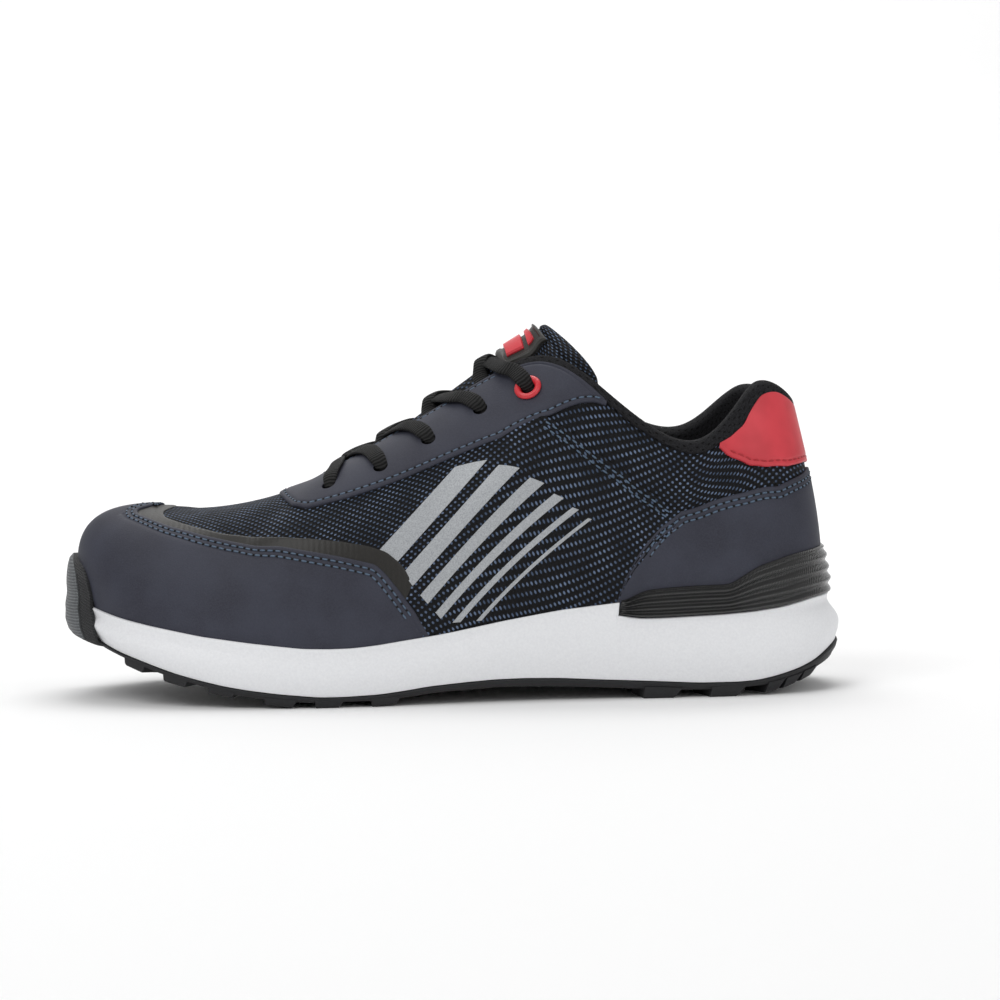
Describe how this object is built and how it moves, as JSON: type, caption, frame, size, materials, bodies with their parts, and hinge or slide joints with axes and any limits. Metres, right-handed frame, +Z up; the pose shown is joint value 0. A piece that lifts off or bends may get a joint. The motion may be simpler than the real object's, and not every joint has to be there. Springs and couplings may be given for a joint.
{
  "type": "safety shoe",
  "caption": "Left low-cut safety trainer with a moulded midsole, lugged outsole with a toe guard, overlaid mesh upper, padded collar, tongue and flat laces.",
  "frame": {"origin": "on the ground under the middle of the shoe", "axes": "-X towards the toe, -Y towards the outer side, +Z up"},
  "size_m": [0.2998, 0.1114, 0.1414],
  "materials": {
    "mesh": "woven",
    "microfibre": "matte",
    "film": "satin",
    "red_patch": "matte",
    "lining": "matte",
    "foam": "matte",
    "rubber": "matte",
    "plastic": "gloss",
    "red_plastic": "satin",
    "lace": "ribbed"
  },
  "bodies": {
    "root": {"upper": "mesh", "midsole": "foam", "insole": "lining", "outsole": "rubber", "toe_cap": "microfibre", "vamp_film": "film", "eyestay": "microfibre", "heel_counter": "microfibre", "heel_patch": "red_patch", "collar_band": "lining", "heel_stabilizer": "plastic", "tongue": "mesh", "tongue_badge": "rubber", "badge_bar_1": "red_plastic", "badge_bar_2": "red_plastic", "eyelet_ring_outer": "red_plastic", "eyelet_ring_inner": "red_plastic", "lace_bar": "lace", "lace_crossing_1": "lace", "lace_crossing_2": "lace", "lace_crossing_3": "lace", "lace_crossing_4": "lace"}
  },
  "joints": []
}
